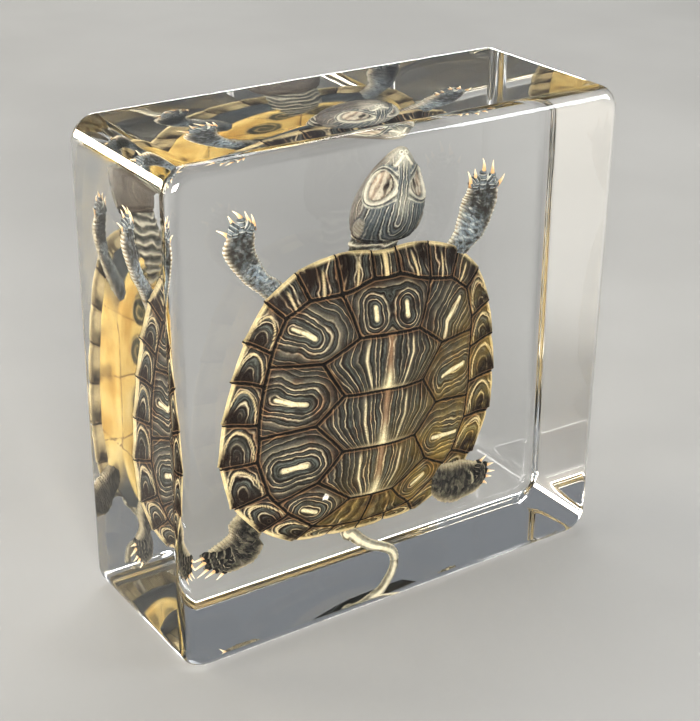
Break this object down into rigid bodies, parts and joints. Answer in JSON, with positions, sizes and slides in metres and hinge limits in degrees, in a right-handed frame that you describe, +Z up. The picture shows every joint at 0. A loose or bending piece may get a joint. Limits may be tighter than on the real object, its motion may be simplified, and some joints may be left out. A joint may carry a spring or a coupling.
{
  "type": "turtle in resin block",
  "caption": "Young pond turtle with domed, seamed carapace, spread legs and raised head, cast in a clear rounded resin block that stands upright.",
  "frame": {"origin": "centre of the block's narrow bottom face, on the surface it stands on", "axes": "+Z up, from the turtle's tail to its head; -Y out of the front face, towards which the carapace faces; +X to the right seen from the front"},
  "size_m": [0.075, 0.029, 0.075],
  "materials": {
    "resin": "clear, polished",
    "turtle": "satin scutes and scaly skin, dark with cream stripes"
  },
  "bodies": {
    "root": {"resin_front": "resin", "resin_back": "resin", "turtle": "turtle"}
  },
  "joints": []
}
